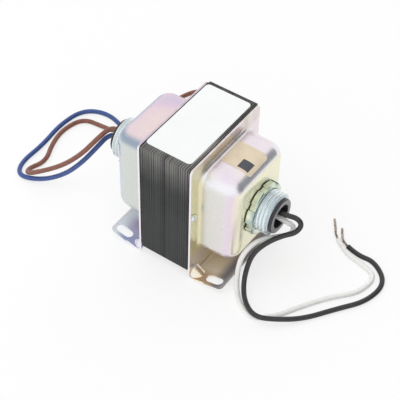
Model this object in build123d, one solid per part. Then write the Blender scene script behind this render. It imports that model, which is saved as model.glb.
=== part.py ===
"""Control transformer: a riveted EI core between two drawn end bells with bent feet, conduit hubs and leads.

Frame, in millimetres: +X along the hub axis towards the primary hub, +Y across the core, +Z up.
The origin is under the middle of the core, on the surface that the feet stand on.
"""
import os
from math import cos, hypot, pi, radians, sin, tan

from build123d import *

os.makedirs("parts", exist_ok=True)

# Core laminations, with the centre leg lying along Y
tongue_height = 22.23
leg_height = 11.11
window_height = 11.11
window_length = 33.34
yoke_width = 11.11
lamination = 0.5
lamination_count = 54
joint_width = 0.10
joint_depth = 0.12
core_lift = 4.97

# Sheet steel end bells, whose cups clear the coil by a room at each side, underneath and at the end
sheet = 1.0
varnish_gap = 0.45
cup_side_room = 3.98
cup_under_room = 1.325
cup_end_room = 9.02
cup_corner = 8.4
cup_end_radius = 7.6
cup_draft = 1.3
cup_rise = 1.1
root_radius = 2.0
bell_corner = 2.0

# Bent feet, which rise outwards, with a slot by each corner
foot_bend = 1.5
foot_tilt = 13.3
slot_width = 5.0
slot_length = 9.0
slot_reach = 27.0
slot_margin = 3.98
foot_margin = 1.57

# Stiffening darts pressed into the bends, each a little inwards of its slot
dart_radius = 3.9
dart_inset = 0.5
dart_rise = 1.4
dart_reach = 5.45
dart_root = 0.6

# Rivets through the yokes
rivet_shank = 3.0
rivet_head = 3.8
rivet_head_height = 1.2
rivet_head_round = 0.96
rivet_inset = 2.18
rivet_rise = 1.595
rivet_clearance = 0.1

# Conduit hubs: a threaded nipple, its locknut and a plastic bushing
nipple_diameter = 21.2
nipple_bore = 15.8
nipple_reach = 9.93
nipple_chamfer = 0.5
shoulder_diameter = 26.0
shoulder_thickness = 1.8
hub_clearance = 0.1
locknut_wall = 2.75
locknut_thickness = 3.58
locknut_chamfer = 0.5
locknut_notches = 8
locknut_notch_width = 3.2
locknut_notch_depth = 1.2
locknut_notch_start = 5.0
bushing_diameter = 17.48
bushing_hole = 12.0
bushing_lip = 1.76
bushing_lip_round = 0.5
bushing_sleeve = 6.0

# Coil: a bobbin with two chambers, side by side along the centre leg
bobbin_clearance = 0.3
bobbin_wall = 1.2
bobbin_flange = 1.2
bobbin_margin = 1.2
bobbin_corner = 1.5
winding_room = 1.51
winding_corner = 3.0
tape_thickness = 0.5

# Lead splices
splice_diameter = 3.2
splice_length = 5.4
splice_clearance = 0.3

# Labels, bare, with their margins to the edges of the core and of the primary cup
label_thickness = 0.2
label_back_margin = 0.2
label_front_margin = 1.8
label_near_margin = 3.78
label_far_margin = 2.18
label_corner = 2.0
sticker_thickness = 0.15
sticker_back_margin = 1.95
sticker_front_margin = 2.22
sticker_width = 15.6
sticker_shift = 0.2
sticker_corner = 1.2

# Leads: insulated stranded wire
lead_diameter = 2.5
strand_diameter = 1.3
high_lead_rise = 1.6
low_lead_drop = 2.0
smoothing = 0.45

# How far cutters run past the faces that they open, and how near a face is to count as on a plane
overrun = 1.0
tolerance = 0.01

# Sizes that follow from the ones above
core_height = tongue_height + 2 * leg_height + 2 * window_height
core_width = window_length + 2 * yoke_width
stack = lamination * lamination_count
core_middle = core_lift + core_height / 2
core_top = core_lift + core_height
hub_height = core_middle + cup_rise
bobbin_end = window_length / 2 - bobbin_clearance
bobbin_half_height = tongue_height / 2 + window_height - bobbin_clearance
tube_inner_x = stack / 2 + bobbin_clearance
tube_inner_z = tongue_height / 2 + bobbin_clearance
tube_x = tube_inner_x + bobbin_wall
tube_z = tube_inner_z + bobbin_wall
winding_build = window_height - bobbin_clearance - bobbin_wall - winding_room
winding_x = tube_x + winding_build
winding_z = tube_z + winding_build
bobbin_reach = winding_x + tape_thickness + bobbin_margin
chamber_low = bobbin_flange / 2
chamber_high = bobbin_end - bobbin_flange
flange_back = stack / 2 + varnish_gap
flange_front = flange_back + sheet
flange_half = core_width / 2
cup_width = window_length + 2 * (cup_side_room + sheet)
cup_height = tongue_height + 2 * (window_height + cup_rise + cup_under_room + sheet)
cup_end = bobbin_reach + cup_end_room + sheet
tilt = radians(foot_tilt)
bend_x = flange_front + foot_bend
bend_z = foot_bend + sheet
foot_end = slot_reach + slot_length / 2 + foot_margin
foot_length = (foot_end - bend_x - bend_z * sin(tilt)) / cos(tilt)
slot_offset = flange_half - slot_margin
dart_offset = slot_offset - dart_inset
rivet_offset = core_width / 2 - rivet_inset
rivet_height = hub_height + rivet_rise
nipple_front = cup_end + nipple_reach
nipple_back = cup_end - sheet - shoulder_thickness
locknut_radius = nipple_diameter / 2 + hub_clearance + locknut_wall
lead_start = bobbin_reach + splice_clearance + splice_length
high_exit = hub_height + high_lead_rise
low_exit = hub_height - low_lead_drop

# Route points of the leads' centrelines, as they lie, from the splice to the bared end
black_route = [
    (lead_start, 0.4, high_exit), (40.0, 0.4, high_exit), (48.5, 0.6, 41.2), (53.6, 2.6, 40.6),
    (56.6, 2.4, 38.0), (55.4, -1.0, 34.8), (50.6, -4.0, 32.6), (45.2, -8.8, 28.8),
    (40.0, -12.0, 20.5), (38.7, -14.6, 11.5), (40.2, -19.2, 4.6), (46.4, -27.4, 4.2),
    (55.0, -32.4, 4.6), (64.0, -27.4, 4.2), (73.0, -17.5, 1.25), (82.5, -3.6, 1.25),
    (92.0, 9.0, 1.25), (94.0, 24.0, 1.25), (83.0, 33.0, 1.25), (74.0, 31.6, 1.25),
    (67.4, 33.9, 1.25),
]
black_strand_route = [(67.4, 33.9, 1.25), (64.0, 35.085, 1.25), (61.2, 38.8, 1.25), (59.0, 42.6, 1.25)]
white_route = [
    (lead_start, 0.8, low_exit), (40.0, 0.8, low_exit), (47.2, 0.9, 37.0), (50.4, 2.2, 34.0),
    (50.0, 0.0, 30.6), (45.0, -3.4, 27.0), (38.6, -8.6, 24.4), (36.4, -16.0, 20.5),
    (36.2, -18.8, 11.5), (37.6, -20.9, 1.5), (43.8, -27.6, 1.25), (52.5, -32.0, 1.25),
    (61.5, -24.5, 1.25), (68.5, -11.5, 1.25), (77.0, 1.4, 1.25), (86.4, 11.5, 1.25),
    (88.4, 25.0, 1.25), (77.5, 28.0, 1.25), (68.0, 29.6, 1.25), (61.1, 35.0, 1.25),
]
white_strand_route = [(61.1, 35.0, 1.25), (58.3, 37.191, 1.25), (56.2, 41.0, 1.25), (52.6, 45.9, 1.25)]
blue_route = [
    (-lead_start, 0.8, low_exit), (-40.0, 0.8, low_exit), (-48.0, 0.9, 37.2), (-53.5, -1.0, 36.4),
    (-55.4, -8.0, 32.4), (-60.6, -14.0, 23.5), (-70.0, -17.5, 12.0), (-83.0, -21.0, 3.2),
    (-96.0, -24.6, 1.25), (-101.5, -16.5, 1.25), (-101.0, 1.0, 1.25), (-103.6, 18.0, 1.25),
    (-101.0, 35.0, 1.25), (-88.0, 41.0, 1.25), (-73.0, 36.0, 1.25), (-58.0, 35.0, 1.25),
    (-45.0, 41.0, 1.25),
]
blue_strand_route = [(-45.0, 41.0, 1.25), (-42.0, 42.385, 1.25), (-37.5, 43.2, 1.25), (-33.0, 42.6, 1.25)]
brown_route = [
    (-lead_start, 0.4, high_exit), (-40.0, 0.4, high_exit), (-48.0, 0.9, 41.2), (-53.0, -0.6, 41.0),
    (-55.4, -8.0, 37.6), (-60.8, -14.0, 29.0), (-70.0, -17.5, 19.0), (-81.0, -20.0, 10.5),
    (-91.5, -22.5, 4.0), (-95.4, -17.5, 1.4), (-91.5, -8.0, 1.25), (-97.5, 4.5, 1.25),
    (-99.8, 16.5, 1.25), (-96.5, 29.5, 1.25), (-84.0, 30.8, 1.25), (-74.0, 29.0, 4.4),
    (-66.0, 41.0, 4.4), (-65.5, 57.0, 1.25), (-64.5, 75.0, 1.25), (-58.0, 88.0, 1.25),
    (-46.0, 90.0, 1.25),
]
brown_strand_route = [(-46.0, 90.0, 1.25), (-43.0, 90.5, 1.25), (-39.0, 89.9, 1.25), (-35.0, 87.5, 1.25)]


def box_between(low: tuple, high: tuple):
    """Returns the box between two opposite corners."""
    size = [end - start for start, end in zip(low, high)]
    middle = [(start + end) / 2 for start, end in zip(low, high)]
    return Pos(*middle) * Box(*size)


def cylinder_along_x(radius: float, start: float, end: float, height: float, offset: float = 0.0):
    """Returns a cylinder along X between two places, at a height and an offset in Y."""
    plane = Plane(origin=(start, offset, height), x_dir=(0, 1, 0), z_dir=(1, 0, 0))
    return extrude(plane * Circle(radius), amount=end - start)


def foot_point(radius: float, along: float = 0.0) -> tuple:
    """Returns a point of the foot's section, at a radius about the bend and a length along the foot."""
    x = bend_x + radius * sin(tilt) + along * cos(tilt)
    z = bend_z - radius * cos(tilt) + along * sin(tilt)
    return (x, z)


def bend_arc(radius: float):
    """Returns the arc of the foot's bend at a radius, from the flange to the foot."""
    half = radians(180 + (90 + foot_tilt) / 2)
    middle = (bend_x + radius * cos(half), bend_z + radius * sin(half))
    return ThreePointArc((bend_x - radius, bend_z), middle, foot_point(radius))


def lamination_joints(outer: float, inner: float) -> list:
    """Returns the fine grooves between the sheets, on the three outer sides of a stack.

    Args: the places along Y of the stack's outer side and of the end that meets the other stack.
    """
    outward = 1 if outer > inner else -1
    past = inner - outward * overrun
    around = box_between((-joint_width / 2, min(outer + outward, past), core_lift - overrun),
                         (joint_width / 2, max(outer + outward, past), core_top + overrun))
    face = outer - outward * joint_depth
    past -= outward * overrun
    kept = box_between((-joint_width, min(face, past), core_lift + joint_depth),
                       (joint_width, max(face, past), core_top - joint_depth))
    groove = around - kept
    return [Pos(index * lamination - stack / 2, 0, 0) * groove for index in range(1, lamination_count)]


def rivet_holes() -> list:
    """Returns the cutters of the rivets' holes through the core and the flanges."""
    radius = rivet_shank / 2 + rivet_clearance
    reach = flange_front + overrun
    return [cylinder_along_x(radius, -reach, reach, rivet_height, side * rivet_offset) for side in (-1, 1)]


def core_e_stack():
    """Returns the E laminations: a spine on the near side, the centre leg and two outer legs."""
    near = -core_width / 2
    open_end = window_length / 2
    body = box_between((-stack / 2, near, core_lift), (stack / 2, open_end, core_top))
    for side in (-1, 1):
        low = core_middle + side * tongue_height / 2
        high = low + side * window_height
        low, high = min(low, high), max(low, high)
        body -= box_between((-stack, -open_end, low), (stack, open_end + overrun, high))
    return body - lamination_joints(near, open_end) - rivet_holes()


def core_i_stack():
    """Returns the I laminations, which close the open ends of the E laminations."""
    inner = window_length / 2
    far = core_width / 2
    body = box_between((-stack / 2, inner, core_lift), (stack / 2, far, core_top))
    return body - lamination_joints(far, inner) - rivet_holes()


def cup_form(growth: float = 0.0):
    """Returns the cup of an end bell as a full body, with its outer skin moved outwards by a growth."""
    plane = Plane(origin=(flange_back, 0, hub_height), x_dir=(0, 1, 0), z_dir=(1, 0, 0))
    outline = plane * RectangleRounded(cup_width + 2 * growth, cup_height + 2 * growth, cup_corner + growth)
    body = extrude(outline, amount=cup_end + growth - flange_back, taper=cup_draft)
    end_edges = body.faces().sort_by(Axis.X)[-1].edges()
    return fillet(end_edges, cup_end_radius + growth)


def flange_and_foot():
    """Returns the flange and the foot as one bent sheet, with rounded corners."""
    foot_top = foot_point(foot_bend, foot_length)
    foot_under = foot_point(foot_bend + sheet, foot_length)
    outline = [
        Line((flange_back, core_top), (flange_front, core_top)),
        Line((flange_front, core_top), (flange_front, bend_z)),
        bend_arc(foot_bend),
        Line(foot_point(foot_bend), foot_top),
        Line(foot_top, foot_under),
        Line(foot_under, foot_point(foot_bend + sheet)),
        bend_arc(foot_bend + sheet),
        Line((flange_back, bend_z), (flange_back, core_top)),
    ]
    strip = extrude(Plane.XZ * make_face(outline), amount=flange_half, both=True)
    corners = strip.edges().filter_by(lambda edge: abs(edge.length - sheet) < tolerance)
    return fillet(corners, bell_corner)


def dart_forms(offset: float) -> tuple:
    """Returns a dart's outer body, kept above the middle of the sheet, and the cutter of its hollow."""
    top = (flange_front, bend_z + foot_bend + dart_rise)
    reach_along = (dart_reach - foot_bend - foot_bend * sin(tilt)) / cos(tilt)
    end = foot_point(foot_bend, reach_along)
    length = hypot(end[0] - top[0], end[1] - top[1])
    along = ((end[0] - top[0]) / length, (end[1] - top[1]) / length)
    inward = (along[1], -along[0])
    axis_x = top[0] + inward[0] * dart_radius - along[0] * length
    axis_z = top[1] + inward[1] * dart_radius - along[1] * length
    plane = Plane(origin=(axis_x, offset, axis_z), x_dir=(0, 1, 0), z_dir=(along[0], 0, along[1]))
    outer = extrude(plane * Circle(dart_radius), amount=3 * length)
    hollow = extrude(plane * Circle(dart_radius - sheet), amount=3 * length)
    skin = foot_bend + sheet / 2
    high = (bend_x - skin, top[1] + length)
    far = foot_point(skin, reach_along + length)
    corner = [
        Line(high, (bend_x - skin, bend_z)),
        bend_arc(skin),
        Line(foot_point(skin), far),
        Line(far, high),
    ]
    region = Pos(0, offset, 0) * extrude(Plane.XZ * make_face(corner), amount=2 * dart_radius, both=True)
    return outer & region, hollow


def end_bell():
    """Returns the drawn end bell of the primary side, with its cup, root fillets, foot, slots and darts."""
    body = flange_and_foot()
    darts = [dart_forms(side * dart_offset) for side in (-1, 1)]
    for outer, hollow in darts:
        body = body + outer
    dart_outlines = body.edges().filter_by(GeomType.ELLIPSE) + body.edges().filter_by(GeomType.BSPLINE)
    body = fillet(dart_outlines, dart_root)
    for outer, hollow in darts:
        body = body - hollow
    body = body + cup_form()
    reach_y = cup_width / 2 + sheet / 2
    reach_z = cup_height / 2 + sheet / 2

    def on_cup_outline(edge) -> bool:
        middle = edge.center()
        return abs(middle.Y) < reach_y and abs(middle.Z - hub_height) < reach_z

    at_front = body.edges().filter_by_position(Axis.X, flange_front - tolerance, flange_front + tolerance)
    body = fillet(at_front.filter_by(on_cup_outline), root_radius)
    body -= cup_form(-sheet)
    at_back = body.edges().filter_by_position(Axis.X, flange_back - tolerance, flange_back + tolerance)
    body = fillet(at_back.filter_by(on_cup_outline), root_radius + sheet)
    hub_hole = nipple_diameter / 2 + hub_clearance
    body -= cylinder_along_x(hub_hole, cup_end - sheet - overrun, cup_end + overrun, hub_height)
    for side in (-1, 1):
        slot = Pos(slot_reach, side * slot_offset, -sheet) * SlotOverall(slot_length, slot_width)
        body -= extrude(slot, amount=foot_length)
    return body - rivet_holes()


def core_rivets():
    """Returns the two rivets through the yokes, each with a domed head on both flanges."""
    rivets = []
    for side in (-1, 1):
        offset = side * rivet_offset
        rivet = cylinder_along_x(rivet_shank / 2, -flange_front, flange_front, rivet_height, offset)
        start = flange_front
        end = flange_front + rivet_head_height
        head = cylinder_along_x(rivet_head / 2, start, end, rivet_height, offset)
        head = fillet(head.faces().sort_by(Axis.X)[-1].edges(), rivet_head_round)
        rivet = rivet + head + mirror(head, about=Plane.YZ)
        rivets.append(rivet)
    return rivets


def nipple():
    """Returns the primary side's conduit nipple, with the shoulder that holds it inside the bell."""
    body = cylinder_along_x(nipple_diameter / 2, nipple_back, nipple_front, hub_height)
    body = chamfer(body.faces().sort_by(Axis.X)[-1].edges(), nipple_chamfer)
    body += cylinder_along_x(shoulder_diameter / 2, nipple_back, nipple_back + shoulder_thickness, hub_height)
    return body - cylinder_along_x(nipple_bore / 2, nipple_back - overrun, nipple_front + overrun, hub_height)


def locknut():
    """Returns the primary side's locknut, seated on the bell, with its driving notches."""
    end = cup_end + locknut_thickness
    body = cylinder_along_x(locknut_radius, cup_end, end, hub_height)
    body = chamfer(body.faces().sort_by(Axis.X)[-1].edges(), locknut_chamfer)
    bore = locknut_radius - locknut_wall
    body -= cylinder_along_x(bore, cup_end - overrun, end + overrun, hub_height)
    notch = box_between((cup_end - overrun, -locknut_notch_width / 2, locknut_radius - locknut_notch_depth),
                        (end + overrun, locknut_notch_width / 2, locknut_radius + overrun))
    for index in range(locknut_notches):
        angle = locknut_notch_start + index * 360 / locknut_notches
        body -= Pos(0, 0, hub_height) * Rot(angle, 0, 0) * notch
    return body


def bushing():
    """Returns the primary side's plastic bushing: a rounded lip on the nipple and a sleeve in its bore."""
    end = nipple_front + bushing_lip
    body = cylinder_along_x(bushing_diameter / 2, nipple_front, end, hub_height)
    body = fillet(body.faces().sort_by(Axis.X)[-1].edges(), bushing_lip_round)
    sleeve_radius = nipple_bore / 2 - hub_clearance
    body += cylinder_along_x(sleeve_radius, nipple_front - bushing_sleeve, nipple_front, hub_height)
    back = nipple_front - bushing_sleeve
    body -= cylinder_along_x(bushing_hole / 2, back - overrun, end + overrun, hub_height)
    mouth = body.edges().filter_by(GeomType.CIRCLE).sort_by(Axis.X)[-1]
    return fillet(mouth, bushing_lip_round)


def coil_ring(half_x: float, half_z: float, corner: float, hole, y_low: float, y_high: float):
    """Returns a rounded rectangular ring about the centre leg, between two places along Y.

    Args: the ring's half sizes in X and Z, its corner radius, the body to take out, and its two ends.
    """
    plane = Plane(origin=(0, y_low, core_middle), x_dir=(-1, 0, 0), z_dir=(0, 1, 0))
    outline = plane * RectangleRounded(2 * half_x, 2 * half_z, corner)
    return extrude(outline, amount=y_high - y_low) - hole


def square_hole(half_x: float, half_z: float):
    """Returns a long square-cornered bar along Y, to take out of the coil's pieces."""
    reach = core_width
    return box_between((-half_x, -reach, core_middle - half_z), (half_x, reach, core_middle + half_z))


def bobbin():
    """Returns the moulded bobbin: a square tube with two end flanges and one between the chambers."""
    leg_hole = square_hole(tube_inner_x, tube_inner_z)
    between_ends = box_between((-tube_x, -bobbin_end, 0), (tube_x, bobbin_end, core_top))
    body = square_hole(tube_x, tube_z) & between_ends
    for low in (-bobbin_end, -bobbin_flange / 2, bobbin_end - bobbin_flange):
        plane = Plane(origin=(0, low, core_middle), x_dir=(-1, 0, 0), z_dir=(0, 1, 0))
        flange = plane * RectangleRounded(2 * bobbin_reach, 2 * bobbin_half_height, bobbin_corner)
        body += extrude(flange, amount=bobbin_flange)
    return body - leg_hole


def winding(low: float, high: float):
    """Returns a winding of enamelled wire, which fills its chamber of the bobbin."""
    return coil_ring(winding_x, winding_z, winding_corner, square_hole(tube_x, tube_z), low, high)


def tape(low: float, high: float):
    """Returns the tape wrapped over a winding."""
    inner = coil_ring(winding_x, winding_z, winding_corner, [], low - overrun, high + overrun)
    half_x = winding_x + tape_thickness
    half_z = winding_z + tape_thickness
    return coil_ring(half_x, half_z, winding_corner + tape_thickness, inner, low, high)


def splices(routes: list):
    """Returns the crimped splices of two leads, each seated by the bobbin and ending at its lead."""
    pieces = []
    for route in routes:
        x, y, z = route[0]
        outward = 1 if x > 0 else -1
        low, high = sorted((x, x - outward * splice_length))
        pieces.append(cylinder_along_x(splice_diameter / 2, low, high, z, y))
    return pieces


def top_label():
    """Returns the bare label on top of the core."""
    back = label_back_margin - stack / 2
    front = stack / 2 - label_front_margin
    near = label_near_margin - core_width / 2
    far = core_width / 2 - label_far_margin
    middle = ((back + front) / 2, (near + far) / 2, core_top)
    outline = RectangleRounded(front - back, far - near, label_corner)
    return extrude(Pos(*middle) * outline, amount=label_thickness)


def bell_sticker():
    """Returns the bare sticker on the primary bell, which lies on the cup's top and its rounded end."""
    back = flange_front + sticker_back_margin
    front = cup_end - sticker_front_margin
    outline = RectangleRounded(front - back, sticker_width, sticker_corner)
    middle = ((back + front) / 2, sticker_shift, hub_height)
    prism = extrude(Pos(*middle) * outline, amount=cup_height)
    return (cup_form(sticker_thickness) & prism) - cup_form()


def arc_radii(route: list) -> list:
    """Returns the radius of the arc at each inner point of a route, as large as its two runs allow."""
    radii = []
    for before, point, after in zip(route, route[1:], route[2:]):
        first = Vector(*point) - Vector(*before)
        second = Vector(*after) - Vector(*point)
        turn = radians(first.get_angle(second))
        radii.append(smoothing * min(first.length, second.length) / tan(turn / 2))
    return radii


def tube(name: str, route: list, diameter: float):
    """Returns a round tube along a route of straight runs and tangent arcs, and prints its measures."""
    radii = arc_radii(route)
    path = FilletPolyline(*route, radius=radii)
    start = Vector(*route[1]) - Vector(*route[0])
    section = Plane(origin=route[0], z_dir=start) * Circle(diameter / 2)
    body = sweep(section, path=path)
    expected = pi * (diameter / 2) ** 2 * path.length
    ratio = body.volume / expected
    tightest = ", ".join(f"{radius:.1f}" for radius in radii)
    print(f"{name}: length {path.length:.1f}, volume over section times length {ratio:.4f}, radii {tightest}")
    return body


def save(name: str, shape) -> None:
    """Writes a node's solids to its file."""
    solids = shape if isinstance(shape, list) else [shape]
    children = [solid for item in solids for solid in item.solids()]
    export_step(Compound(children=children), f"parts/{name}.step")


primary_bell = end_bell()
primary_nipple = nipple()
primary_locknut = locknut()
primary_bushing = bushing()

save("core_e_stack", core_e_stack())
save("core_i_stack", core_i_stack())
save("core_rivets", core_rivets())
save("bobbin", bobbin())
save("primary_winding", winding(-chamber_high, -chamber_low))
save("secondary_winding", winding(chamber_low, chamber_high))
save("primary_tape", tape(-chamber_high, -chamber_low))
save("secondary_tape", tape(chamber_low, chamber_high))
save("primary_splices", splices([black_route, white_route]))
save("secondary_splices", splices([blue_route, brown_route]))
for node, piece in (("bell", primary_bell), ("nipple", primary_nipple), ("locknut", primary_locknut),
                    ("bushing", primary_bushing)):
    save(f"primary_{node}", piece)
    save(f"secondary_{node}", mirror(piece, about=Plane.YZ))
save("top_label", top_label())
save("bell_sticker", bell_sticker())
for colour, route, strand_route in (("black", black_route, black_strand_route),
                                    ("white", white_route, white_strand_route),
                                    ("blue", blue_route, blue_strand_route),
                                    ("brown", brown_route, brown_strand_route)):
    save(f"{colour}_lead", tube(f"{colour}_lead", route, lead_diameter))
    save(f"{colour}_lead_strands", tube(f"{colour}_lead_strands", strand_route, strand_diameter))
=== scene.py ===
"""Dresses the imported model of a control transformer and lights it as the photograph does.

Lengths in the classes are in millimetres unless a name says otherwise, and are turned to metres where
a mesh or a curve is made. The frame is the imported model's own: +X along the hub axis, +Z up.
"""
from __future__ import annotations

import logging
import math
from dataclasses import dataclass, field
from enum import Enum

import bmesh
import bpy
from mathutils import Matrix, Vector


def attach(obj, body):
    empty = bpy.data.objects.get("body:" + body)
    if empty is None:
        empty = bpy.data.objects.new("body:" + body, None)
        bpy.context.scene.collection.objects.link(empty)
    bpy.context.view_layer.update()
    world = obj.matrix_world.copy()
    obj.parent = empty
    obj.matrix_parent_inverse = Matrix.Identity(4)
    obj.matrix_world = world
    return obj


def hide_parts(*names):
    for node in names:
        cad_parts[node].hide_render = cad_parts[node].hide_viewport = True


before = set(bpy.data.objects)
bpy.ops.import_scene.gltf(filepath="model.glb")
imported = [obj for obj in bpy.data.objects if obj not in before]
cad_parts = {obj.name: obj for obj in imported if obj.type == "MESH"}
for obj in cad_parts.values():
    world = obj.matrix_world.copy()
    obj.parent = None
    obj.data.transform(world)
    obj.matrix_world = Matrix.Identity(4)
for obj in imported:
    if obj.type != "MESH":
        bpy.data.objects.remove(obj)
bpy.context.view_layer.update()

MM = 0.001
Stops = tuple[tuple[float, str], ...]
Spans = tuple[tuple[str, float, float], ...]
Point = tuple[float, float, float]
Tree = bpy.types.NodeTree
Socket = bpy.types.NodeSocket

# Settings of nodes that several finishes use
COLOUR_MIX = {"data_type": "RGBA"}
PRODUCT = {"operation": "MULTIPLY"}
PRODUCT_AND_SUM = {"operation": "MULTIPLY_ADD"}
UNSIGNED = {"operation": "ABSOLUTE"}
WITHIN = {"operation": "COMPARE"}
SOFT_SHARE = {"interpolation_type": "SMOOTHSTEP"}

log = logging.getLogger("transformer")


class Side(Enum):
    """The two ends of the hub axis."""

    PRIMARY = 1
    SECONDARY = -1

    @property
    def word(self) -> str:
        """The side's name as the nodes spell it."""
        return self.name.lower()


def linear(code: str) -> tuple[float, float, float, float]:
    """Turns an sRGB hex colour into linear light.

    Args:
        code: six hex digits, with or without a hash.

    Returns:
        The linear red, green and blue, and an alpha of one.
    """
    digits = code.lstrip("#")
    shares = [int(digits[i:i + 2], 16) / 255 for i in (0, 2, 4)]
    turned = [s / 12.92 if s <= 0.04045 else ((s + 0.055) / 1.055) ** 2.4 for s in shares]
    return (*turned, 1.0)


def add(tree: Tree, kind: str, settings: dict[str, object] | None = None,
        **inputs: object) -> bpy.types.Node:
    """Adds one node with its settings, and sets or links its inputs.

    Args:
        tree: the node tree.
        kind: the node's type, without its "ShaderNode" start.
        settings: properties of the node itself. A colour ramp's stops are places from 0 to 1, each
            with a hex colour.
        inputs: values or sockets for its inputs, by name with underscores for spaces, or by "i" and
            a number.

    Returns:
        The new node.
    """
    node = tree.nodes.new("ShaderNode" + kind)
    for name, value in (settings or {}).items():
        if name != "stops":
            setattr(node, name, value)
            continue
        elements = node.color_ramp.elements
        while len(elements) < len(value):
            elements.new(0.5)
        for element, (place, code) in zip(elements, value):
            element.position = place
            element.color = linear(code)
    for name, value in inputs.items():
        key = int(name[1:]) if name[0] == "i" and name[1:].isdigit() else name.replace("_", " ")
        socket = node.inputs[key]
        if isinstance(value, Socket):
            tree.links.new(value, socket)
        else:
            socket.default_value = value
    return node


def per_mm(size: float) -> float:
    """Returns the texture scale whose features are about a size in millimetres."""
    return 1.0 / (size * MM)


@dataclass(frozen=True)
class Finish:
    """A surface finish: a base that each real finish fills in."""

    name: str

    def start(self) -> tuple[bpy.types.Material, Tree, bpy.types.Node, Socket]:
        """Makes a material that holds only its surface shader.

        Returns:
            The material, its tree, the Principled shader and the object coordinates.
        """
        material = bpy.data.materials.new(self.name)
        material.use_nodes = True
        tree = material.node_tree
        shader = tree.nodes["Principled BSDF"]
        place = add(tree, "TexCoord").outputs["Object"]
        return material, tree, shader, place

    def build(self) -> bpy.types.Material:
        """Makes the material."""
        raise NotImplementedError


@dataclass(frozen=True)
class Coat:
    """A layer of colour in a film, with the measures of the surface that say where it shows.

    The colour is one hex code, or stops that follow a measure. A span is a measure's name, the value
    at which the coat begins to show and the value at which it covers fully. Places are in
    millimetres, and directions are parts of the surface's normal. Tints lie on the coat itself.
    """

    colour: str | Stops
    spans: Spans = ()
    follows: str = ""
    tints: tuple[Coat, ...] = ()


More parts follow.
